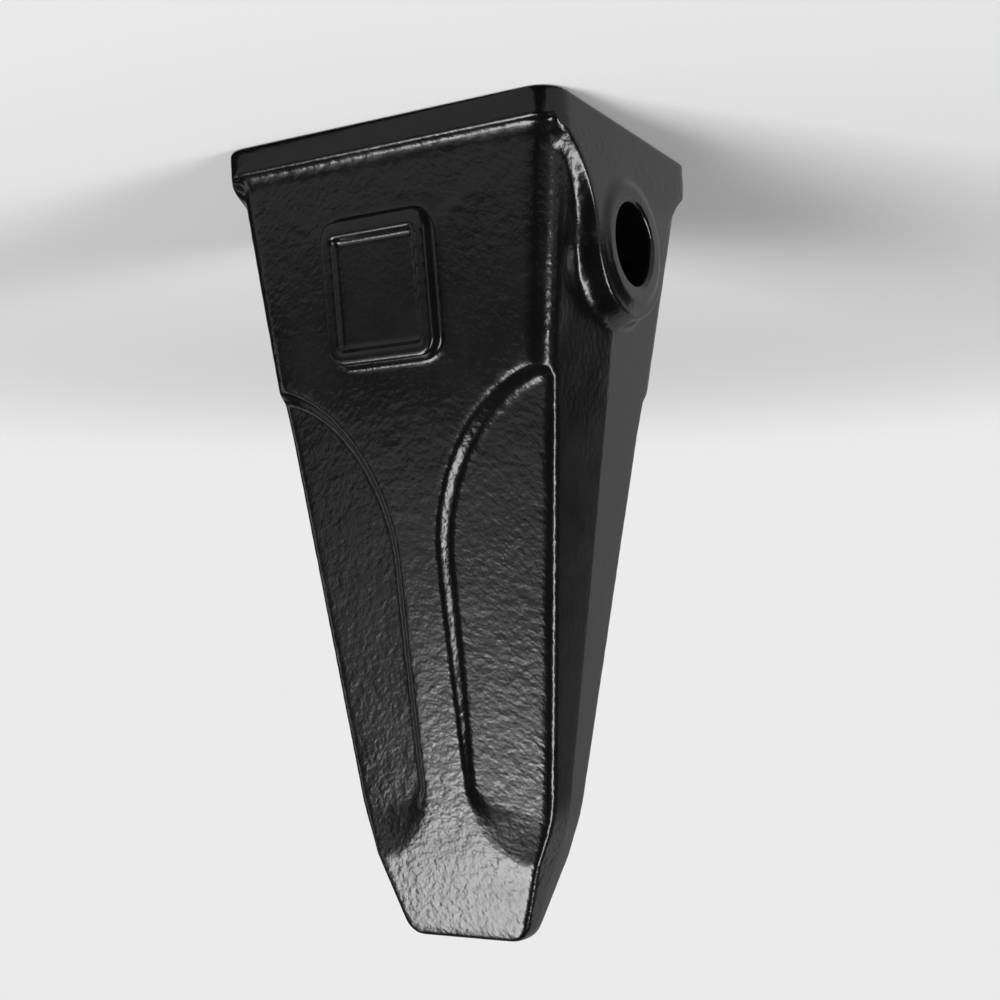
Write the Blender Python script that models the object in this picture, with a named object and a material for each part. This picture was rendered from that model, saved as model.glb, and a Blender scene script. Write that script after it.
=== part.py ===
# Bucket tooth: one steel casting that slides over the nose of an adapter and is held by a pin through its sides.
# It stands on its mouth. Z runs from the mouth to the digging edge, X across the width and along the pin hole,
# and Y through the thickness, with the panel on the -Y face. Sizes below are in millimetres.

import math

import bmesh
import bpy

for old in list(bpy.data.objects):
    bpy.data.objects.remove(old, do_unlink=True)

MM = 0.001

# Outer form, from the mouth to the digging edge
LENGTH = 225.0
BODY_WIDTH = 106.8
BODY_DEPTH = 87.4
MOUTH_CORNER = 8.5
BODY_CORNER = 6.9
RIM_SIDE_STEP = 1.4
RIM_FACE_STEP = 1.5
RIM_HEIGHT = 8.3
RIM_SIDE_TAPER = 0.1
RIM_FACE_TAPER = 0.5
RIM_BACK_INSET = 1.4
RIM_CORNER = 8.0
RIM_EDGE = 0.9
LEDGE_FILLET = 3.6
WAIST_Z = 67.0
WAIST_NARROWING = 17.1
WAIST_THINNING = 17.8
FACE_CROWN = 1.6
SIDE_DRAFT = math.radians(4.2)
MOUTH_DRAFT = math.radians(2.1)
CHEEK_LENGTH = 35.0
CHEEK_WIDTH = 62.0
CHEEK_BLEND = 4.0
FACET_LENGTH = 23.0
FACET_DEPTH = 19.0
EDGE_WIDTH = 37.6
EDGE_DEPTH = 7.4
EDGE_CORNER = 4.0
TIP_CORNER = 1.8

# Socket for the adapter nose
SIDE_WALL = 7.4
FACE_WALL = 10.7
MOUTH_CHAMFER = 1.5
SOCKET_CORNER = 8.0
SEAT_Z = 84.0
SEAT_WIDTH = 62.0
SEAT_DEPTH = 27.0
NOSE_Z = 118.0
NOSE_WIDTH = 54.0
NOSE_DEPTH = 22.0
NOSE_FILLET = 3.0

# Ears, bosses and pin hole
EAR_PROUD = 0.05
EAR_LOBE = 21.2
EAR_FLARE = 8.1
EAR_DRAFT = 0.9
EAR_FILLET = 2.9
EAR_EDGE = 1.0
PIN_Z = 33.0
PIN_RADIUS = 11.6
PIN_EDGE = 0.5
BOSS_RADIUS = 16.1
BOSS_HEIGHT = 0.95
BOSS_FILLET = 3.2

# Scoops in the broad faces, with the rib between them
SCOOP_TOP_Z = 67.7
SCOOP_DEPTH = 5.1
SCOOP_END_DEPTH = 2.6
SHOULDER_OVERRUN = 4.7
SHOULDER_HEIGHT = 52.6
RIB_WIDTH = 12.3
RIB_END_WIDTH = 13.8
HEEL_X = 28.0
HEEL_HEIGHT = 20.5
HEEL_OVERRUN = 1.5
FLOOR_LEAN = 0.06
SHOULDER_BULGE = 1.05
SHOULDER_SLOPE = 1.0
WALL_SLOPE = 1.0
HEEL_RUN = 13.0
SCOOP_EDGE = 3.0
SCOOP_EDGE_TURN = math.radians(50)
SCOOP_EDGE_TIGHT = 0.4

# Raised panel on the -Y face, a bare field in a frame
PANEL_X = 2.25
PANEL_Z = 46.0
PANEL_WIDTH = 37.0
PANEL_HEIGHT = 41.6
PANEL_CORNER = 6.0
PANEL_RISE = 4.4
PANEL_DRAFT = 1.8
PANEL_EDGE = 0.6
FRAME_WIDTH = 3.1
FIELD_DEPTH = 2.2

# Points on a quarter arc
ARC_STEPS = 7


def lerp(a, b, t):
    return a + (b - a) * t


def spread(start, end, count):
    """Values from start to end, both included."""
    return [lerp(start, end, k / (count - 1)) for k in range(count)]


def loft(name, rings):
    """A closed solid through rings that all have the same number of points, in millimetres."""
    bm = bmesh.new()
    loops = [[bm.verts.new((x * MM, y * MM, z * MM)) for x, y, z in ring] for ring in rings]
    for low, high in zip(loops, loops[1:]):
        for k in range(len(low)):
            n = (k + 1) % len(low)
            bm.faces.new((low[k], low[n], high[n], high[k]))
    bm.faces.new(loops[0])
    bm.faces.new(loops[-1])
    return finish(name, bm)


def finish(name, bm):
    """Turns a bmesh into an object with its faces out and its round stretches shaded smooth."""
    bmesh.ops.recalc_face_normals(bm, faces=bm.faces)
    mesh = bpy.data.meshes.new(name)
    bm.to_mesh(mesh)
    bm.free()
    mesh.polygons.foreach_set("use_smooth", [True] * len(mesh.polygons))
    mesh.set_sharp_from_angle(angle=math.radians(32))
    made = bpy.data.objects.new(name, mesh)
    bpy.context.collection.objects.link(made)
    return made


def boolean(target, tool, operation):
    """Joins or cuts with a tool that stays in the file as a hidden wire outline."""
    step = target.modifiers.new(tool.name, "BOOLEAN")
    step.operation = operation
    step.solver = "EXACT"
    step.object = tool
    tool.hide_render = True
    tool.display_type = "WIRE"


def mirrored(points, x_sign, y_sign):
    """The same points on another side of the tooth."""
    return [(x_sign * x, y_sign * y, z) for x, y, z in points]


# Outer lines of the body: half width at the corner, half depth at the face, corner radius

CHEEK_Z = LENGTH - CHEEK_LENGTH
FACET_Z = LENGTH - FACET_LENGTH
WAIST_WIDTH = BODY_WIDTH - WAIST_NARROWING
WAIST_DEPTH = BODY_DEPTH - WAIST_THINNING
RIM_WIDTH = BODY_WIDTH + 2 * RIM_SIDE_STEP
RIM_DEPTH = BODY_DEPTH + 2 * RIM_FACE_STEP
RIM_FLAT = RIM_DEPTH / 2 - RIM_FACE_TAPER - RIM_CORNER
EAR_FACE_X = RIM_WIDTH / 2 - RIM_SIDE_TAPER + EAR_PROUD


def half_width(z):
    """Half the width where the side faces meet the broad faces, before the corners are rounded."""
    if z < WAIST_Z:
        return lerp(BODY_WIDTH, WAIST_WIDTH, z / WAIST_Z) / 2
    body = lerp(WAIST_WIDTH, CHEEK_WIDTH, (z - WAIST_Z) / (CHEEK_Z - WAIST_Z)) / 2
    cheek = lerp(CHEEK_WIDTH, EDGE_WIDTH, (z - CHEEK_Z) / CHEEK_LENGTH) / 2
    if abs(z - CHEEK_Z) < CHEEK_BLEND:
        bend = (z - CHEEK_Z + CHEEK_BLEND) ** 2 / (4 * CHEEK_BLEND)
        fall = (WAIST_WIDTH - CHEEK_WIDTH) / (CHEEK_Z - WAIST_Z) / 2
        steeper = (CHEEK_WIDTH - EDGE_WIDTH) / CHEEK_LENGTH / 2 - fall
        return body - steeper * bend
    return min(body, cheek)


def half_depth(z):
    """Half the thickness over the rib: flat to the waist, crowned to the facet, flat to the edge."""
    if z < WAIST_Z:
        return lerp(BODY_DEPTH, WAIST_DEPTH, z / WAIST_Z) / 2
    if z < FACET_Z:
        t = (z - WAIST_Z) / (FACET_Z - WAIST_Z)
        return lerp(WAIST_DEPTH, FACET_DEPTH, t) / 2 + 4 * FACE_CROWN * t * (1 - t)
    return lerp(FACET_DEPTH, EDGE_DEPTH, (z - FACET_Z) / FACET_LENGTH) / 2


def corner_radius(z):
    if z < WAIST_Z:
        return lerp(MOUTH_CORNER, BODY_CORNER, z / WAIST_Z)
    return lerp(BODY_CORNER, TIP_CORNER, min((z - WAIST_Z) / (FACET_Z - WAIST_Z), 1.0))


def side_draft(z):
    """The side faces lean less near the mouth, so the ears stay proud of them."""
    return lerp(MOUTH_DRAFT, SIDE_DRAFT, min(max((z - RIM_HEIGHT) / (WAIST_Z - RIM_HEIGHT), 0.0), 1.0))


def outline(z, half_w, half_d, corner, draft):
    """A rounded box whose side faces rise to a parting line at Y = 0, as a ring of points."""
    ridge = half_w + half_d * math.tan(draft)
    cy = half_d - corner
    cx = ridge - (corner + cy * math.sin(draft)) / math.cos(draft)
    arc = [
        (cx + corner * math.cos(a), cy + corner * math.sin(a), z)
        for a in spread(draft, math.pi / 2, ARC_STEPS + 1)
    ]
    right = [(ridge, 0.0, z)] + arc
    left = mirrored(arc[::-1], -1, 1) + [(-ridge, 0.0, z)]
    return right + left + mirrored(arc, -1, -1) + mirrored(arc[::-1], 1, -1)


def body_ring(z):
    return outline(z, half_width(z), half_depth(z), corner_radius(z), side_draft(z))


def side_x(y, z):
    """Where the side face of the body lies, its rounded corner included."""
    corner = corner_radius(z)
    draft = side_draft(z)
    ridge = half_width(z) + half_depth(z) * math.tan(draft)
    cy = half_depth(z) - corner
    if abs(y) <= cy:
        return ridge - abs(y) * math.tan(draft)
    cx = ridge - (corner + cy * math.sin(draft)) / math.cos(draft)
    return cx + math.sqrt(max(corner ** 2 - (abs(y) - cy) ** 2, 0.0))


# Body: rim, ledge under the rim, tapering wall, cheeks and digging edge in one loft


def stood_back(ring, share):
    """The same ring with its back half moved in, where the rim stands less proud."""
    return [(x, y - share * RIM_BACK_INSET if y > 0 else y, z) for x, y, z in ring]


def rim_ring(z, inset):
    """The rim's outline, which tapers a little and is drawn in by the given amount."""
    side = RIM_WIDTH / 2 - RIM_SIDE_TAPER * z / RIM_HEIGHT - inset
    face = RIM_DEPTH / 2 - RIM_FACE_TAPER * z / RIM_HEIGHT - inset
    return stood_back(outline(z, side, face, RIM_CORNER - inset, 0.0), 1.0)


def ledge_ring(angle):
    """One step of the hollow fillet that leads from the top of the rim into the body wall."""
    z = RIM_HEIGHT + LEDGE_FILLET * (1 - math.cos(angle))
    t = math.sin(angle)
    ring = outline(
        z,
        lerp(RIM_WIDTH / 2 - RIM_SIDE_TAPER - RIM_EDGE, half_width(z), t),
        lerp(RIM_DEPTH / 2 - RIM_FACE_TAPER - RIM_EDGE, half_depth(z), t),
        lerp(RIM_CORNER - RIM_EDGE, corner_radius(z), t),
        side_draft(z) * t,
    )
    return stood_back(ring, 1.0 - t)


def edge_ring(angle):
    """One step of the rounding at the digging edge, wide across the corners and small on the faces."""
    z = LENGTH - EDGE_CORNER * (1 - math.sin(angle))
    drawn_in = EDGE_CORNER * (1 - math.cos(angle))
    thinned = drawn_in * TIP_CORNER / EDGE_CORNER * 0.6
    corner = TIP_CORNER - thinned
    return outline(z, half_width(z) - drawn_in, half_depth(z) - thinned, corner, SIDE_DRAFT)


quarter = [math.radians(a) for a in (0, 30, 60, 90)]
rings = [rim_ring(RIM_EDGE * (1 - math.sin(a)), RIM_EDGE * (1 - math.cos(a))) for a in quarter[::-1]]
rings += [rim_ring(RIM_HEIGHT - RIM_EDGE * (1 - math.sin(a)), RIM_EDGE * (1 - math.cos(a))) for a in quarter]
rings += [ledge_ring(math.radians(a)) for a in (18, 36, 54, 72, 90)]
rings += [body_ring(WAIST_Z)]
rings += [body_ring(z) for z in spread(WAIST_Z, CHEEK_Z - CHEEK_BLEND, 12)[1:]]
rings += [body_ring(z) for z in spread(CHEEK_Z - CHEEK_BLEND, CHEEK_Z + CHEEK_BLEND, 4)[1:]]
rings += [body_ring(FACET_Z)]
rings += [edge_ring(math.radians(a)) for a in (0, 18, 36, 54, 72, 90)]
tooth = loft("bucket_tooth", rings)


# Ears: plates flush with the rim, a lobe round the pin hole that flares out to the rim's corners


def ear_outline():
    """Half of the ear's outline from the rim to the bottom of the lobe, as (y, z, outward y, outward z)."""
    drop = PIN_Z - RIM_HEIGHT
    reach = half_depth(RIM_HEIGHT) + EAR_FLARE
    flare = (reach ** 2 + drop ** 2 - EAR_LOBE ** 2) / (2 * (drop + EAR_LOBE))
    centre_z = RIM_HEIGHT + flare
    lean = math.atan2(centre_z - PIN_Z, reach)
    corner_y = half_depth(RIM_HEIGHT) - 1.6
    first = math.acos((reach - corner_y) / flare)
    points = []
    for a in spread(first, lean, 14):
        points.append((reach - flare * math.cos(a), centre_z - flare * math.sin(a), math.cos(a), math.sin(a)))
    for a in spread(lean, math.pi / 2, 12)[1:]:
        points.append((EAR_LOBE * math.cos(a), PIN_Z + EAR_LOBE * math.sin(a), math.cos(a), math.sin(a)))
    foot_y, foot_z = points[0][0], RIM_HEIGHT / 2
    return [(foot_y, foot_z, 0.0, 0.0)] + points


def rim_side_x(y):
    """The outer face of the ear, which follows the rim's side and its rounded corner."""
    if abs(y) <= RIM_FLAT:
        return EAR_FACE_X
    return EAR_FACE_X - RIM_CORNER + math.sqrt(max(RIM_CORNER ** 2 - (abs(y) - RIM_FLAT) ** 2, 0.0))


def ear_ring(out, height):
    """The ear's outline moved out by some millimetres, at a share of the step from the wall to its face."""
    half = []
    for y, z, ny, nz in ear_outline():
        pz = z + out * nz
        py = min(y + out * ny, max(y, half_depth(pz) - 1.4))
        wall = side_x(py, pz)
        half.append((lerp(wall, rim_side_x(y), height), py, pz))
    return half + mirrored(half[-2::-1], 1, -1)


def ear(name, side):
    """Builds one ear: inner end in the wall, hollow fillet, drafted side, rounded edge and face."""
    levels = [(EAR_DRAFT + EAR_FILLET, -0.6)]
    for a in (8, 30, 52, 75):
        sweep = math.radians(a)
        run = EAR_DRAFT + EAR_FILLET * (1 - math.sin(sweep))
        levels.append((run, 0.55 * (1 - math.cos(sweep)) - 0.04))
    levels.append((0.0, 0.78))
    levels.append((-EAR_EDGE * 0.3, 0.93))
    levels.append((-EAR_EDGE, 1.0))
    rings = [ear_ring(out, height) for out, height in levels]
    bm = bmesh.new()
    loops = [[bm.verts.new((side * x * MM, y * MM, z * MM)) for x, y, z in ring] for ring in rings]
    count = len(loops[0])
    for low, high in zip(loops, loops[1:]):
        for k in range(count):
            n = (k + 1) % count
            bm.faces.new((low[k], low[n], high[n], high[k]))
    face = loops[-1]
    flat = []
    for vert in face:
        y = vert.co.y / MM
        if abs(y) > RIM_FLAT:
            vert = bm.verts.new((side * EAR_FACE_X * MM, math.copysign(RIM_FLAT, y) * MM, vert.co.z))
        flat.append(vert)
    for k in range(count):
        n = (k + 1) % count
        turned_in = [face[k], face[n]] + [v for v in (flat[n], flat[k]) if v not in (face[k], face[n])]
        if len(turned_in) > 2 and n != 0:
            bm.faces.new(turned_in)
    for loop in (loops[0], flat):
        for k in range(count // 2 - 1):
            bm.faces.new((loop[k], loop[k + 1], loop[count - 2 - k], loop[count - 1 - k]))
        middle = count // 2
        bm.faces.new((loop[middle - 1], loop[middle], loop[middle + 1]))
    bm.faces.new((face[0], flat[0], flat[-1], face[-1]))
    return finish(name, bm)


def turned(name, profile, steps):
    """A solid of revolution about the pin's axis, from (radius, x) pairs."""
    rings = []
    for radius, x in profile:
        turn = [2 * math.pi * k / steps for k in range(steps)]
        rings.append([(x, radius * math.cos(a), PIN_Z + radius * math.sin(a)) for a in turn])
    return loft(name, rings)


boss_face = EAR_FACE_X + BOSS_HEIGHT
boss_profile = [
    (BOSS_RADIUS + BOSS_FILLET, EAR_FACE_X - 6),
    (BOSS_RADIUS + BOSS_FILLET, EAR_FACE_X - 0.10 * BOSS_HEIGHT),
    (BOSS_RADIUS + BOSS_FILLET * 0.62, EAR_FACE_X + 0.12 * BOSS_HEIGHT),
    (BOSS_RADIUS + BOSS_FILLET * 0.34, EAR_FACE_X + 0.42 * BOSS_HEIGHT),
    (BOSS_RADIUS + BOSS_FILLET * 0.16, EAR_FACE_X + 0.80 * BOSS_HEIGHT),
    (BOSS_RADIUS, boss_face),
]
for side, word in ((-1, "left"), (1, "right")):
    boolean(tooth, ear(f"{word}_ear", side), "UNION")
    boss = turned(f"{word}_boss", [(radius, side * x) for radius, x in boss_profile], 64)
    boolean(tooth, boss, "UNION")


# Scoops: a wide shoulder under the waist, a straight run beside the rib and a heel behind the facet

scoop_end_z = FACET_Z + HEEL_OVERRUN
floor_fall = ((half_depth(SCOOP_TOP_Z) - SCOOP_DEPTH) - (half_depth(CHEEK_Z) - SCOOP_END_DEPTH)) / (
    CHEEK_Z - SCOOP_TOP_Z
)


def floor_y(x, z):
    """The scoop's flat floor, which leans outwards, as a distance from the middle plane."""
    edge = lerp(WAIST_WIDTH, CHEEK_WIDTH, (z - WAIST_Z) / (CHEEK_Z - WAIST_Z)) / 2
    return half_depth(SCOOP_TOP_Z) - SCOOP_DEPTH - floor_fall * (z - SCOOP_TOP_Z) + FLOOR_LEAN * (edge - x)


def scoop_line():
    """The scoop's lip seen from the front, as (x, z, inward x, inward z, run for its depth, share of heel)."""
    outside = BODY_WIDTH / 2 + 8
    shoulder_x = WAIST_WIDTH / 2 + SHOULDER_OVERRUN
    shoulder_z = SCOOP_TOP_Z + SHOULDER_HEIGHT
    heel_z = scoop_end_z - HEEL_HEIGHT
    points = [(outside, SCOOP_TOP_Z, SHOULDER_SLOPE, 0.0)]
    for a in spread(0.0, math.pi / 2, 18):
        x = shoulder_x - (shoulder_x - RIB_WIDTH / 2) * math.sin(a) ** SHOULDER_BULGE
        z = shoulder_z - SHOULDER_HEIGHT * max(math.cos(a), 0.0) ** SHOULDER_BULGE
        points.append((x, z, lerp(SHOULDER_SLOPE, WALL_SLOPE, math.sin(a)), 0.0))
    for t in spread(0.0, 1.0, 4)[1:-1]:
        points.append((lerp(RIB_WIDTH, RIB_END_WIDTH, t) / 2, lerp(shoulder_z, heel_z, t), WALL_SLOPE, 0.0))
    for a in spread(0.0, math.pi / 2, 12):
        x = HEEL_X - (HEEL_X - RIB_END_WIDTH / 2) * math.cos(a)
        z = heel_z + HEEL_HEIGHT * math.sin(a)
        share = min(1.0, 1.6 * math.sin(a))
        points.append((x, z, WALL_SLOPE, share))
    points.append((outside, scoop_end_z, WALL_SLOPE, 1.0))
    line = []
    for k, (x, z, slope, share) in enumerate(points):
        before, after = points[max(k - 1, 0)], points[min(k + 1, len(points) - 1)]
        dx, dz = after[0] - before[0], after[1] - before[1]
        if k in (0, len(points) - 1):
            dx, dz = (-1.0 if k == 0 else 1.0), 0.0
        size = math.hypot(dx, dz)
        run = lerp(slope * (half_depth(z) - floor_y(x, z)), HEEL_RUN, share)
        line.append((x, z, dz / size, -dx / size, run, share))
    return line


# Steps down the scoop's wall and its heel as (share of the run, share of the depth), from rounded lip to hollow root
WALL_STEPS = (
    (-0.10, -0.03), (0.10, 0.03), (0.245, 0.157), (0.44, 0.464), (0.635, 0.77), (0.75, 0.88), (0.87, 0.965), (1.0, 1.0),
)
HEEL_STEPS = (
    (-0.10, -0.18), (0.10, 0.18), (0.20, 0.35), (0.32, 0.52), (0.48, 0.69), (0.64, 0.83), (0.82, 0.94), (1.0, 1.0),
)


def scoop(name, x_sign, y_sign):
    """The cutter for one scoop, from above the face down to the flat floor."""
    line = scoop_line()
    rings = []
    for wall, heel in zip(WALL_STEPS, HEEL_STEPS):
        ring = []
        for x, z, nx, nz, run, share in line:
            move = lerp(wall[0], heel[0], share) * run
            down = lerp(wall[1], heel[1], share)
            px, pz = x + move * nx, z + move * nz
            ring.append((px, lerp(half_depth(pz), floor_y(px, pz), down), pz))
        rings.append(ring)
    above = RIM_DEPTH / 2 + 5
    rings.insert(0, [(x, above, z) for x, y, z in rings[0]])
    return loft(name, [mirrored(ring, x_sign, y_sign) for ring in rings])


def edge_arc(side, floor, radius):
    """A rounding that leaves the floor gently and turns tighter beside the side face, as (x, y) pairs."""
    tight = radius * SCOOP_EDGE_TIGHT
    turn_x = (radius - tight) * math.sin(SCOOP_EDGE_TURN)
    turn_y = (radius - tight) * math.cos(SCOOP_EDGE_TURN)
    centre_x, centre_y = side - tight - turn_x, floor - radius
    points = []
    for a in (math.radians(d) for d in (14, 32, 50)):
        points.append((centre_x + radius * math.sin(a), centre_y + radius * math.cos(a)))
    for a in (math.radians(d) for d in (63, 76)):
        points.append((centre_x + turn_x + tight * math.sin(a), centre_y + turn_y + tight * math.cos(a)))
    return points


def scoop_edge(name, x_sign, y_sign):
    """The cutter that rounds the edge where a scoop's floor runs out through the side face."""
    stations = []
    shoulder_run = SHOULDER_SLOPE * SCOOP_DEPTH
    for (run, down), share in zip(WALL_STEPS[3:], (0.15, 0.35, 0.5, 0.7, 0.85)):
        z = SCOOP_TOP_Z + run * shoulder_run
        stations.append((z, lerp(half_depth(z), floor_y(half_width(z), z), down), share))
    for z, share in ((SCOOP_TOP_Z + 3 * shoulder_run, 1.0), (scoop_end_z - HEEL_RUN - 4.0, 0.95)):
        stations.append((z, floor_y(half_width(z), z), share))
    for (run, down), share in zip(HEEL_STEPS[:0:-1], (0.85, 0.8, 0.75, 0.7, 0.6, 0.5, 0.4)):
        z = scoop_end_z - run * HEEL_RUN
        stations.append((z, lerp(half_depth(z), floor_y(half_width(z), z), down), share))
    rings = []
    for z, floor, share in stations:
        radius = SCOOP_EDGE * share
        side = half_width(z) + (half_depth(z) - floor) * math.tan(SIDE_DRAFT)
        arc = edge_arc(side, floor, radius)
        reach = 0.6 + 0.4 * radius
        lead = (arc[0][0] - reach * math.cos(math.radians(14)), arc[0][1] + reach * math.sin(math.radians(14)))
        exit_point = (arc[-1][0] + 0.6 * math.cos(math.radians(76)), arc[-1][1] - 0.6 * math.sin(math.radians(76)))
        section = [lead] + arc + [exit_point, (side + 3, exit_point[1]), (side + 3, floor + 2), (lead[0], floor + 2)]
        rings.append([(x, y, z) for x, y in section])
    return loft(name, [mirrored(ring, x_sign, y_sign) for ring in rings])


for y_sign, face in ((-1, "front"), (1, "back")):
    for x_sign, word in ((-1, "left"), (1, "right")):
        boolean(tooth, scoop(f"{face}_{word}_scoop", x_sign, y_sign), "DIFFERENCE")
        boolean(tooth, scoop_edge(f"{face}_{word}_scoop_edge", x_sign, y_sign), "DIFFERENCE")


# Panel: a drafted frame that stands on the front face, with a sunken bare field


def panel_ring(inset, rise):
    """A rounded rectangle on the front face, drawn in and lifted off the face."""
    lean = math.atan2((BODY_DEPTH - WAIST_DEPTH) / 2, WAIST_Z)
    half_w, half_h = PANEL_WIDTH / 2 - inset, PANEL_HEIGHT / 2 - inset
    corner = max(PANEL_CORNER - inset, 0.9)
    ring = []
    for turn, (sx, sz) in enumerate(((1, 1), (-1, 1), (-1, -1), (1, -1))):
        for a in spread(0.0, math.pi / 2, ARC_STEPS):
            angle = a + turn * math.pi / 2
            u = sx * (half_w - corner) + corner * math.cos(angle)
            v = sz * (half_h - corner) + corner * math.sin(angle)
            x = PANEL_X + u
            y = -half_depth(PANEL_Z) + v * math.sin(lean) - rise * math.cos(lean)
            ring.append((x, y, PANEL_Z + v * math.cos(lean) + rise * math.sin(lean)))
    return ring


frame_inner = PANEL_DRAFT + FRAME_WIDTH
field_rise = PANEL_RISE - FIELD_DEPTH
panel_steps = [
    (-1.0, -2.0),
    (-1.0, -0.1),
    (-0.5, 0.15),
    (-0.1, 0.7),
    (PANEL_DRAFT - PANEL_EDGE * 0.6, PANEL_RISE - PANEL_EDGE),
    (PANEL_DRAFT - PANEL_EDGE * 0.2, PANEL_RISE - PANEL_EDGE * 0.3),
    (PANEL_DRAFT + PANEL_EDGE * 0.4, PANEL_RISE),
    (frame_inner - PANEL_EDGE * 0.4, PANEL_RISE),
    (frame_inner + PANEL_EDGE * 0.2, PANEL_RISE - PANEL_EDGE * 0.4),
    (frame_inner + 0.7, field_rise + 0.6),
    (frame_inner + 1.0, field_rise + 0.15),
    (frame_inner + 1.6, field_rise),
]
boolean(tooth, loft("panel", [panel_ring(inset, rise) for inset, rise in panel_steps]), "UNION")


# Socket: a wedge that fits the adapter nose, with flat seats near its end, and the pin hole through both ears


def socket_ring(z, inset):
    """The socket's outline, drawn in by the given amount."""
    if z < SEAT_Z:
        t = z / SEAT_Z
        width = lerp(BODY_WIDTH - 2 * SIDE_WALL, SEAT_WIDTH, t)
        depth = lerp(BODY_DEPTH - 2 * FACE_WALL, SEAT_DEPTH, t)
    else:
        t = (z - SEAT_Z) / (NOSE_Z - SEAT_Z)
        width = lerp(SEAT_WIDTH, NOSE_WIDTH, t)
        depth = lerp(SEAT_DEPTH, NOSE_DEPTH, t)
    corner = lerp(SOCKET_CORNER, SOCKET_CORNER * 0.6, min(z / NOSE_Z, 1.0))
    return outline(z, width / 2 - inset, depth / 2 - inset, corner, 0.0)


socket_rings = [socket_ring(-MOUTH_CHAMFER, -2 * MOUTH_CHAMFER), socket_ring(MOUTH_CHAMFER, 0.0)]
socket_rings += [socket_ring(SEAT_Z, 0.0)]
for a in (0, 30, 60, 90):
    turn = math.radians(a)
    z = NOSE_Z - NOSE_FILLET * (1 - math.sin(turn))
    socket_rings.append(socket_ring(z, NOSE_FILLET * (1 - math.cos(turn))))
boolean(tooth, loft("socket", socket_rings), "DIFFERENCE")

pin_profile = []
for side in (-1, 1):
    outer = [
        (PIN_RADIUS + 2 * PIN_EDGE, side * (boss_face + PIN_EDGE)),
        (PIN_RADIUS, side * (boss_face - PIN_EDGE)),
    ]
    pin_profile += outer if side < 0 else outer[::-1]
boolean(tooth, turned("pin_hole", pin_profile, 64), "DIFFERENCE")


# Material: black paint on a cast skin

paint = bpy.data.materials.new("black_paint")
paint.use_nodes = True
shader = paint.node_tree.nodes["Principled BSDF"]
shader.inputs["Base Color"].default_value = (0.016, 0.016, 0.017, 1.0)
shader.inputs["Roughness"].default_value = 0.38
shader.inputs["Metallic"].default_value = 0.0
tooth.data.materials.append(paint)
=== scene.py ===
import math

import bpy
import numpy as np
from mathutils import Matrix, Vector


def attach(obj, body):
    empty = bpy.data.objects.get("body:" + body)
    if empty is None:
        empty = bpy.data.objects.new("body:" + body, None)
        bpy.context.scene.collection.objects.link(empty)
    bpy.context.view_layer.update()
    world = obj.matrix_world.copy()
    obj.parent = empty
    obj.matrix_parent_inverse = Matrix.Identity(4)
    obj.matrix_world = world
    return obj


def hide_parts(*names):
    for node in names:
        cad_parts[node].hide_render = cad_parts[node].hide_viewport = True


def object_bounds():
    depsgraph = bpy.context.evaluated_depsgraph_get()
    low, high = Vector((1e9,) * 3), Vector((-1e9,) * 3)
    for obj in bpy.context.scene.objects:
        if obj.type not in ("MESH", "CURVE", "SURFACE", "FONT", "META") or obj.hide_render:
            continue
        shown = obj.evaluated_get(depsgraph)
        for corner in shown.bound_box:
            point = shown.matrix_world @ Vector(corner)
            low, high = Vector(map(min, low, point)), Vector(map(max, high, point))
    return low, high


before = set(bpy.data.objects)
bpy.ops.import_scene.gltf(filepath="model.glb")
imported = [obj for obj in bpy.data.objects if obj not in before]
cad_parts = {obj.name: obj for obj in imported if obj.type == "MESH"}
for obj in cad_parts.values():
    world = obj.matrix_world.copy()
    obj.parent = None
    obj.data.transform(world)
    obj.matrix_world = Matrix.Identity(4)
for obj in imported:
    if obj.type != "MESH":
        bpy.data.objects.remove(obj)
cad_low, cad_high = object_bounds()

# Cast tooth
# One steel casting, poured in a sand mould, shot clean and dipped in black enamel.
# The sand leaves a leathery skin on the walls and scoops. The ears and the rim come out smoother.

SKIN_CELL = 0.0006
SMOOTH_PASSES = 14
HOLLOW_PASSES = 45
TRIANGLES = 196000
PANEL_X = 0.00225
PANEL_Z = 0.0460
PANEL_SHIFT = 0.0009
PANEL_DRAW = 0.0010
FACE_Y = 0.0437
FACE_LEAN = 0.1328
WALL_X = 0.0534
WALL_LEAN = 0.1276
WALL_DRAFT = 2.1
WALL_DRAFT_GROWTH = 35.8
WALL_DRAFT_HEIGHT = 0.0587
RIM_TOP = 0.0083
EDGE_X = 0.0527
EDGE_LEAN = 0.1126
PIN_Z = 0.033
SOCKET_END = 0.119

bpy.ops.object.select_all(action="DESELECT")
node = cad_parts["bucket_tooth"]
casting = node.copy()
casting.data = node.data.copy()
casting.name = "cast_tooth"
casting.parent = None
bpy.context.collection.objects.link(casting)
bpy.context.view_layer.objects.active = casting
casting.select_set(True)
bpy.ops.object.mode_set(mode="EDIT")
bpy.ops.mesh.select_all(action="SELECT")
bpy.ops.mesh.remove_doubles(threshold=0.000002)
bpy.ops.object.mode_set(mode="OBJECT")


def points_of(mesh):
    """The mesh's vertices, one row for each."""
    places = np.empty(len(mesh.vertices) * 3)
    mesh.vertices.foreach_get("co", places)
    return places.reshape(-1, 3)


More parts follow.
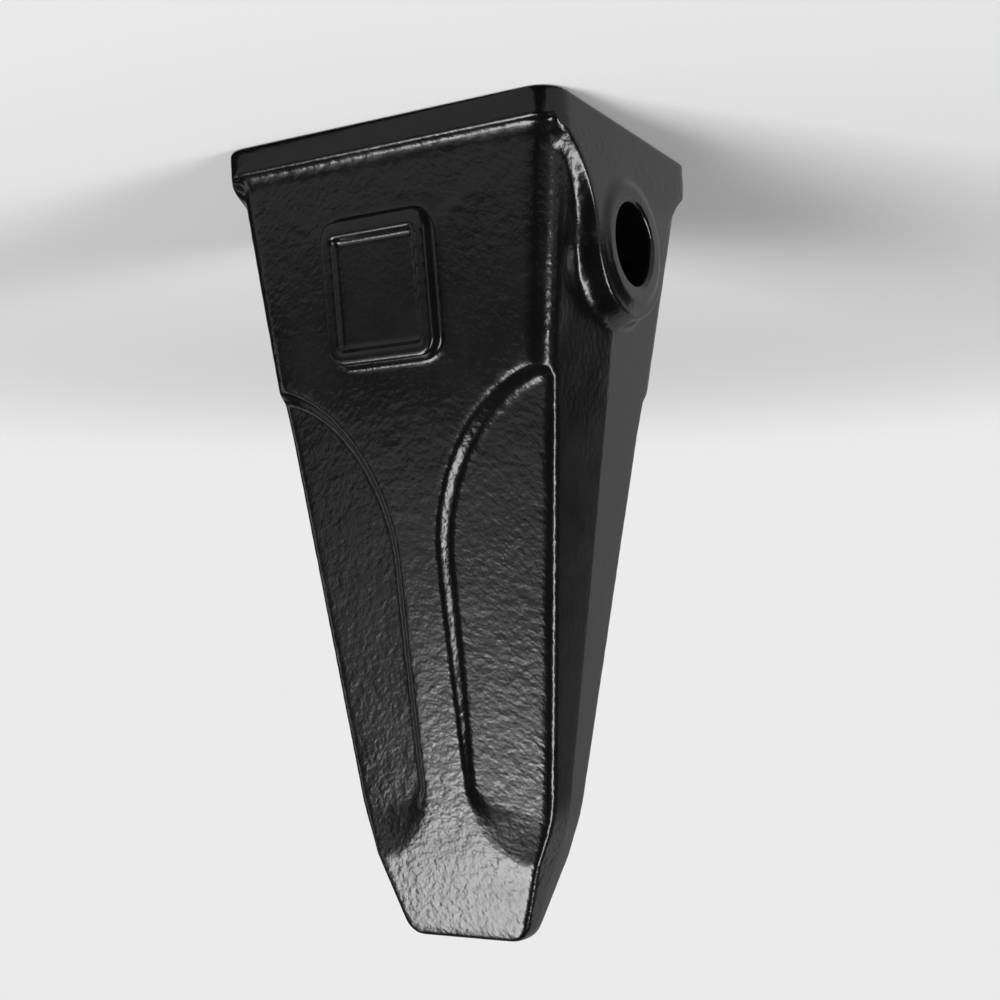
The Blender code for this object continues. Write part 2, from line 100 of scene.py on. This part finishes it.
# The panel's frame is drawn up steeply from its foot and reaches a little further towards the mouth.
places = points_of(casting.data)
across, above = places[:, 0] - PANEL_X, places[:, 2] - PANEL_Z
rise = -places[:, 1] - (FACE_Y - FACE_LEAN * places[:, 2])
panel = (abs(across) < 0.0205) & (abs(above) < 0.0230) & (rise > -0.0002)
foot = panel & (rise < 0.0009) & ((abs(across) > 0.0165) | (abs(above) > 0.0190))
frame_edge = panel & (above < -0.0165)
places[foot, 0] -= PANEL_DRAW * across[foot] / 0.0190
places[foot, 2] -= PANEL_DRAW * above[foot] / 0.0213
places[frame_edge, 2] -= 0.0012
places[panel, 0] += PANEL_SHIFT

# The far side pulls in a little past the waist. The back swells next to the rim and thins past the waist.
across, deep, above = places.T.copy()
far_side = np.clip((across - 0.015) / 0.015, 0, 1)
places[:, 0] -= 0.0005 * far_side * np.clip((above - 0.060) / 0.020, 0, 1)
at_back = np.clip((deep - 0.010) / 0.020, 0, 1)
past_waist = np.clip((above - 0.050) / 0.030, 0, 1)
past_rim = np.clip((above - 0.010) / 0.008, 0, 1)
places[:, 1] += at_back * (0.0016 * past_rim * (1 - past_waist) - 0.0009 * past_waist)
casting.data.vertices.foreach_set("co", places.ravel())
casting.data.update()

remesh = casting.modifiers.new("sand_mould", "REMESH")
remesh.mode = "VOXEL"
remesh.voxel_size = SKIN_CELL
bpy.ops.object.modifier_apply(modifier=remesh.name)


def between(value, low, high):
    """0 under low, 1 over high and a soft ramp from one to the other."""
    t = np.clip((value - low) / (high - low), 0, 1)
    return t * t * (3 - 2 * t)


def vertex_group(piece, name, weights):
    """Stores a weight for each vertex in steps of a sixteenth."""
    group = piece.vertex_groups.new(name=name)
    steps = np.round(weights * 16).astype(int)
    for step in range(1, 17):
        members = np.nonzero(steps == step)[0]
        if len(members):
            group.add(members.tolist(), step / 16, "REPLACE")
    return group.name


def round_off(piece, name, passes, weights):
    """Smooths the casting where the weights say, as the sand rounds a mould's edges."""
    rounded = piece.modifiers.new(name, "SMOOTH")
    rounded.factor = 0.5
    rounded.iterations = passes
    rounded.vertex_group = vertex_group(piece, name, weights)
    bpy.ops.object.modifier_apply(modifier=rounded.name)


def over_panel(x, y, z, half_width, half_height):
    """1 on the raised panel, with each half size given as where the ramp starts and where it ends."""
    beside = between(abs(x - PANEL_X - PANEL_SHIFT), *half_width)
    return between(-y, 0.0345, 0.0365) * (1 - beside) * (1 - between(abs(z - PANEL_Z), *half_height))


def over_ear_face(x, z):
    """1 on the flat outer faces of the ears and of the rim beside them."""
    return between(abs(x), 0.0530, 0.0545) * (1 - between(z, 0.056, 0.060))


def facing_sideways(mesh):
    """1 where the surface looks along the pin's axis, as the casting's two sides do."""
    normals = np.empty(len(mesh.vertices) * 3)
    mesh.vertices.foreach_get("normal", normals)
    return between(abs(normals[0::3]), 0.93, 0.985)


x, y, z = points_of(casting.data).T
on_panel = over_panel(x, y, z, (0.0200, 0.0220), (0.0235, 0.0250))
on_rim = 1 - between(z, 0.0085, 0.0110)
on_ear = between(abs(x), 0.0505, 0.0520) * (1 - between(z, 0.058, 0.062))
in_hole = 1 - between(np.hypot(y, z - PIN_Z), 0.0128, 0.0145)
at_tip = between(z, 0.188, 0.198)
at_edge = between(abs(x) - (EDGE_X - EDGE_LEAN * z), -0.0028, -0.0015) * between(z, 0.070, 0.074)
crisp = np.maximum.reduce(
    [on_panel, on_rim, 0.6 * on_ear, in_hole * (abs(x) > 0.03), 0.8 * at_tip, 0.8 * at_edge]
)
round_off(casting, "fillets", SMOOTH_PASSES, 1 - 0.85 * crisp)

x, y, z = points_of(casting.data).T
draft = np.radians(WALL_DRAFT + WALL_DRAFT_GROWTH * np.clip(z - RIM_TOP, 0, WALL_DRAFT_HEIGHT))
wall = WALL_X - WALL_LEAN * z + (FACE_Y - FACE_LEAN * z - abs(y)) * np.tan(draft)
ear_side = between(abs(x) - wall, 0.0001, 0.0005) * (1 - between(abs(x), 0.0536, 0.0543))
ear_side = ear_side * between(z, 0.011, 0.014) * (1 - between(z, 0.060, 0.064))
round_off(casting, "ear_hollows", HOLLOW_PASSES, ear_side)

x, y, z = points_of(casting.data).T
in_socket = (
    (abs(x) < np.maximum(0.0320, 0.0478 - 0.1786 * z))
    & (abs(y) < np.maximum(0.0145, 0.0348 - 0.2320 * z))
    & (z < SOCKET_END)
)
outside = np.where(in_socket, 0.0, 1.0)
on_side = facing_sideways(casting.data)
rough = outside * between(z, 0.0004, 0.0012)
rough = rough * (1 - 0.7 * over_ear_face(x, z)) * (1 - 0.8 * on_panel) * (1 - in_hole)
rough = rough * (1 - 0.4 * at_tip) * (1 - 0.85 * on_side)
ledge = between(z, 0.0080, 0.0088) * (1 - between(z, 0.0125, 0.0140)) * outside
skin_group = vertex_group(casting, "skin", rough)
bead_group = vertex_group(casting, "beads", np.maximum(ear_side, ledge))
for name, group, size, depth, height in (
    ("waves", skin_group, 0.011, 1, 0.00012),
    ("leather", skin_group, 0.0036, 0, 0.00012),
    ("beads", bead_group, 0.0021, 0, 0.00013),
):
    relief = bpy.data.textures.new(name, "CLOUDS")
    relief.noise_scale = size
    relief.noise_depth = depth
    relief.noise_basis = "IMPROVED_PERLIN"
    press = casting.modifiers.new(name, "DISPLACE")
    press.texture = relief
    press.texture_coords = "LOCAL"
    press.strength = height
    press.mid_level = 0.5
    press.vertex_group = group
    bpy.ops.object.modifier_apply(modifier=press.name)

thin = casting.modifiers.new("thinned", "DECIMATE")
thin.ratio = min(1.0, TRIANGLES / (2 * len(casting.data.polygons)))
bpy.ops.object.modifier_apply(modifier=thin.name)

places = points_of(casting.data)
places = np.clip(places, np.array(cad_low), np.array(cad_high))
casting.data.vertices.foreach_set("co", places.ravel())
casting.data.update()
bpy.ops.object.shade_smooth()

# The grain's strength over the casting: the rim, the ears, the panel, the sides and the bore are calmer.
x, y, z = places.T
lip = 1 - between(z, 0.0078, 0.0088)
field = over_panel(x, y, z, (0.0195, 0.0210), (0.0225, 0.0240))
bore = (1 - between(np.hypot(y, z - PIN_Z), 0.0120, 0.0135)) * (abs(x) > 0.028)
casting.vertex_groups.clear()
skin = casting.data.attributes.new("skin", "FLOAT", "POINT")
upright = facing_sideways(casting.data)
side = upright * (0.62 + 0.26 * between(-y, -0.003, 0.003) * between(z, 0.070, 0.100))
body = 1 - between(z, 0.066, 0.125)
tip = between(z, 0.192, 0.206)
calm = np.maximum.reduce(
    [0.62 * over_ear_face(x, z), 0.40 * lip, 0.72 * field, side, 0.30 * body, 0.10 * tip]
)
skin.data.foreach_set("value", (1 - calm) * (1 - 0.9 * bore))
streak = casting.data.attributes.new("streak", "FLOAT", "POINT")
streak.data.foreach_set("value", upright * between(y, -0.002, 0.004) * between(z, 0.055, 0.065))

enamel = bpy.data.materials.new("black_enamel")
enamel.use_nodes = True
nodes = enamel.node_tree.nodes
links = enamel.node_tree.links
paint = nodes["Principled BSDF"]
paint.inputs["Base Color"].default_value = (0.003, 0.003, 0.0031, 1)
paint.inputs["IOR"].default_value = 1.55
place = nodes.new("ShaderNodeTexCoord")

# The grain fans out from the rib on both sides: its pattern is drawn along X and slides down with |X|.
axes = nodes.new("ShaderNodeSeparateXYZ")
links.new(place.outputs["Object"], axes.inputs["Vector"])
outward = nodes.new("ShaderNodeMath")
outward.operation = "ABSOLUTE"
links.new(axes.outputs["X"], outward.inputs[0])
beside_rib = nodes.new("ShaderNodeMath")
beside_rib.operation = "SUBTRACT"
beside_rib.use_clamp = True
beside_rib.inputs[1].default_value = 0.009
links.new(outward.outputs["Value"], beside_rib.inputs[0])
fanned = nodes.new("ShaderNodeMath")
fanned.operation = "MULTIPLY_ADD"
fanned.inputs[1].default_value = -0.26
links.new(beside_rib.outputs["Value"], fanned.inputs[0])
links.new(axes.outputs["Z"], fanned.inputs[2])
drawn = nodes.new("ShaderNodeMath")
drawn.operation = "MULTIPLY"
drawn.inputs[1].default_value = 0.92
links.new(axes.outputs["X"], drawn.inputs[0])
flow = nodes.new("ShaderNodeCombineXYZ")
links.new(drawn.outputs["Value"], flow.inputs["X"])
links.new(axes.outputs["Y"], flow.inputs["Y"])
links.new(fanned.outputs["Value"], flow.inputs["Z"])
skin_value = nodes.new("ShaderNodeAttribute")
skin_value.attribute_name = "skin"
streak_value = nodes.new("ShaderNodeAttribute")
streak_value.attribute_name = "streak"
streaks = nodes.new("ShaderNodeMapping")
streaks.inputs["Scale"].default_value = (1.0, 1.0, 0.22)
links.new(place.outputs["Object"], streaks.inputs["Vector"])

gloss = nodes.new("ShaderNodeTexNoise")
gloss.inputs["Scale"].default_value = 70
gloss.inputs["Detail"].default_value = 4
links.new(place.outputs["Object"], gloss.inputs["Vector"])
gloss_range = nodes.new("ShaderNodeMapRange")
gloss_range.inputs["From Min"].default_value = 0.3
gloss_range.inputs["From Max"].default_value = 0.7
gloss_range.inputs["To Min"].default_value = 0.19
gloss_range.inputs["To Max"].default_value = 0.26
links.new(gloss.outputs["Fac"], gloss_range.inputs["Value"])
links.new(gloss_range.outputs["Result"], paint.inputs["Roughness"])

normal = None
for vector, mask, scale, detail, roughness, distortion, strength, height in (
    (flow, skin_value, 580, 1.5, 0.45, 0.10, 0.9, 0.00018),
    (flow, skin_value, 1300, 2.0, 0.5, 0.3, 0.6, 0.00006),
    (streaks, streak_value, 620, 1.0, 0.5, 0.0, 0.7, 0.00009),
):
    grain = nodes.new("ShaderNodeTexNoise")
    grain.inputs["Scale"].default_value = scale
    grain.inputs["Detail"].default_value = detail
    grain.inputs["Roughness"].default_value = roughness
    grain.inputs["Distortion"].default_value = distortion
    links.new(vector.outputs["Vector"], grain.inputs["Vector"])
    bump = nodes.new("ShaderNodeBump")
    bump.inputs["Distance"].default_value = height
    share = nodes.new("ShaderNodeMath")
    share.operation = "MULTIPLY"
    share.inputs[1].default_value = strength
    links.new(mask.outputs["Fac"], share.inputs[0])
    links.new(share.outputs["Value"], bump.inputs["Strength"])
    links.new(grain.outputs["Fac"], bump.inputs["Height"])
    if normal:
        links.new(normal, bump.inputs["Normal"])
    normal = bump.outputs["Normal"]
links.new(normal, paint.inputs["Normal"])

casting.data.materials.clear()
casting.data.materials.append(enamel)
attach(casting, "root")
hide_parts("bucket_tooth")

# Floor
# A plain pale studio floor that the tooth stands on with its mouth down. It runs out into a pale background.

bpy.ops.mesh.primitive_circle_add(vertices=128, radius=6, fill_type="NGON", location=(0, 0, 0))
floor = bpy.context.object
floor.name = "floor"
pale = bpy.data.materials.new("pale_floor")
pale.use_nodes = True
nodes = pale.node_tree.nodes
links = pale.node_tree.links
matt = nodes["Principled BSDF"]
matt.inputs["Base Color"].default_value = (0.72, 0.72, 0.72, 1)
matt.inputs["Roughness"].default_value = 0.9
matt.inputs["Specular IOR Level"].default_value = 0.1
far = nodes.new("ShaderNodeEmission")
far.inputs["Color"].default_value = (0.83, 0.83, 0.83, 1)
place = nodes.new("ShaderNodeTexCoord")
reach = nodes.new("ShaderNodeVectorMath")
reach.operation = "LENGTH"
links.new(place.outputs["Object"], reach.inputs[0])
fade = nodes.new("ShaderNodeMapRange")
fade.interpolation_type = "SMOOTHERSTEP"
fade.inputs["From Min"].default_value = 0.15
fade.inputs["From Max"].default_value = 0.75
links.new(reach.outputs["Value"], fade.inputs["Value"])
blend = nodes.new("ShaderNodeMixShader")
links.new(fade.outputs["Result"], blend.inputs["Fac"])
links.new(matt.outputs["BSDF"], blend.inputs[1])
links.new(far.outputs["Emission"], blend.inputs[2])
links.new(blend.outputs["Shader"], nodes["Material Output"].inputs["Surface"])
floor.data.materials.append(pale)
# The enamel doesn't mirror the floor. Grey cards below stand in for it as painted reflections.
floor.visible_glossy = False

# Dark screens and painted reflections
# A black sheet stands round the tooth, outside the view, and only the enamel's reflections see it. It is a
# painted dark reflection, so the enamel mirrors a dark room beside its lamps. Part of it glows grey as a
# painted grey reflection.

GAP_START = -32
# Angles of the screen's glowing grey band, which is a painted reflection.
GREY_REFLECTION_START = -25
GREY_REFLECTION_END = 60
CARD_Z = -0.004

# Painted dark reflection: a black material that only the enamel's reflections see.
dark_reflection = bpy.data.materials.new("painted_dark_reflection")
dark_reflection.use_nodes = True
dark_reflection.node_tree.nodes["Principled BSDF"].inputs["Base Color"].default_value = (0.004, 0.004, 0.004, 1)
dark_reflection.node_tree.nodes["Principled BSDF"].inputs["Roughness"].default_value = 1.0


def glowing(name, brightness):
    """A grey material that glows evenly, used for painted reflections."""
    glow = bpy.data.materials.new(name)
    glow.use_nodes = True
    nodes = glow.node_tree.nodes
    shine = nodes.new("ShaderNodeEmission")
    shine.inputs["Color"].default_value = (brightness, brightness, brightness, 1)
    glow.node_tree.links.new(shine.outputs["Emission"], nodes["Material Output"].inputs["Surface"])
    return glow


def only_mirrored(screen):
    """Hides a screen from the camera, diffuse light and shadows, so that only the enamel's reflections see
    it.
    """
    screen.visible_camera = False
    screen.visible_diffuse = False
    screen.visible_shadow = False


# The screen's glowing grey band is a painted grey reflection in the enamel, not a lamp.
glowing_grey = glowing("painted_grey_reflection", 0.38)
bpy.ops.mesh.primitive_cylinder_add(vertices=360, radius=1.7, depth=4.2, location=(0, 0, 0.5))
screen = bpy.context.object
screen.name = "screen"
bpy.ops.object.mode_set(mode="EDIT")
bpy.ops.mesh.select_all(action="DESELECT")
bpy.ops.object.mode_set(mode="OBJECT")
for face in screen.data.polygons:
    angle = math.degrees(math.atan2(face.center.x, face.center.y))
    upright_face = abs(face.normal.z) < 0.5
    face.select = upright_face and GAP_START < angle < GREY_REFLECTION_START
    face.material_index = int(upright_face and GREY_REFLECTION_START < angle < GREY_REFLECTION_END)
bpy.ops.object.mode_set(mode="EDIT")
bpy.ops.mesh.delete(type="FACE")
bpy.ops.object.mode_set(mode="OBJECT")
screen.data.materials.append(dark_reflection)
screen.data.materials.append(glowing_grey)
only_mirrored(screen)


def floor_card(name, corner, turn, width, depth, brightness):
    """A glowing grey card just under the floor, from a corner beside the mouth outwards. Only the enamel's
    reflections see it, so it is a painted reflection in place of the floor's.
    """
    middle = (corner[0] + width / 2, corner[1] - depth / 2, CARD_Z)
    bpy.ops.mesh.primitive_plane_add(size=1, location=middle)
    bpy.ops.transform.resize(value=(abs(width), depth, 1))
    bpy.ops.transform.rotate(value=math.radians(turn), orient_axis="Z", center_override=(*corner, 0))
    card = bpy.context.object
    card.name = name
    card.data.materials.append(glowing(name, brightness))
    only_mirrored(card)


# Three painted grey reflections, seen only in the enamel below its horizon.
floor_card("front_grey_reflection", (-0.046, -0.0455), 9, 1.2, 1.6, 0.42)
floor_card("side_grey_reflection", (-0.0575, -0.0455), 33, -1.2, 1.0, 0.48)
floor_card("ear_grey_reflection", (-0.0575, 0.100), 0, -0.15, 0.1455, 0.45)

# Lamps
# A broad soft box high in front, a tall narrow one at the side with the ear, and an even sky for the shadows.


def soft_box(name, azimuth, elevation, distance, width, height, radiance):
    """An area lamp that faces the tooth, with the angles measured from the -Y side towards +X and up."""
    lamp = bpy.data.lights.new(name, "AREA")
    lamp.shape = "RECTANGLE"
    lamp.size = width
    lamp.size_y = height
    lamp.energy = 4 * radiance * width * height
    stand = bpy.data.objects.new(name, lamp)
    bpy.context.collection.objects.link(stand)
    a, e = math.radians(azimuth), math.radians(elevation)
    away = Vector((math.sin(a) * math.cos(e), -math.cos(a) * math.cos(e), math.sin(e)))
    stand.location = away * distance + Vector((0, 0, 0.12))
    stand.rotation_euler = away.to_track_quat("Z", "Y").to_euler()
    return stand


soft_box("high_front", 27.5, 45.6, 1.3, 0.57, 0.78, 8.8)
soft_box("front_skirt", 27.5, 24, 1.4, 0.66, 0.22, 1.9)
soft_box("front_card", 30, 12, 1.4, 0.9, 0.34, 0.42)
soft_box("side_strip", -86, 26, 1.2, 0.28, 1.0, 9.6)
soft_box("far_card", 78, 14, 1.3, 0.30, 0.80, 0.8)

world = bpy.data.worlds.new("studio")
world.use_nodes = True
bpy.context.scene.world = world
nodes = world.node_tree.nodes
links = world.node_tree.links
sky = nodes["Background"]
sky.inputs["Color"].default_value = (0.83, 0.83, 0.83, 1)
path = nodes.new("ShaderNodeLightPath")
seen = nodes.new("ShaderNodeMath")
seen.operation = "ADD"
seen.use_clamp = True
links.new(path.outputs["Is Camera Ray"], seen.inputs[0])
mirrored = nodes.new("ShaderNodeMath")
mirrored.operation = "ADD"
mirrored.use_clamp = True
links.new(path.outputs["Is Glossy Ray"], mirrored.inputs[0])
links.new(path.outputs["Is Transmission Ray"], mirrored.inputs[1])
links.new(mirrored.outputs["Value"], seen.inputs[1])
level = nodes.new("ShaderNodeMapRange")
level.inputs["To Min"].default_value = 0.15
level.inputs["To Max"].default_value = 1.0
links.new(seen.outputs["Value"], level.inputs["Value"])
links.new(level.outputs["Result"], sky.inputs["Strength"])

# Camera
# It stands at the photograph's viewpoint, worked out from the tooth's edges, and is turned over on its axis,
# because the photograph shows the tooth with its mouth up.

eye = Vector((-0.23511, -0.39114, 0.14628))
right = Vector((-0.86635, 0.49919, 0.01593))
down = Vector((0.06304, 0.07766, 0.99499))
ahead = Vector((0.49545, 0.86301, -0.09874))
lens = bpy.data.cameras.new("camera")
lens.sensor_width = 36
lens.lens = 1577.6 * 36 / 1000
lens.shift_x = 0.00206
lens.clip_start = 0.01
lens.clip_end = 30
camera = bpy.data.objects.new("camera", lens)
bpy.context.collection.objects.link(camera)
camera.matrix_world = Matrix.Translation(eye) @ Matrix((right, -down, -ahead)).transposed().to_4x4()
bpy.context.scene.camera = camera

bpy.context.scene.view_settings.view_transform = "Standard"
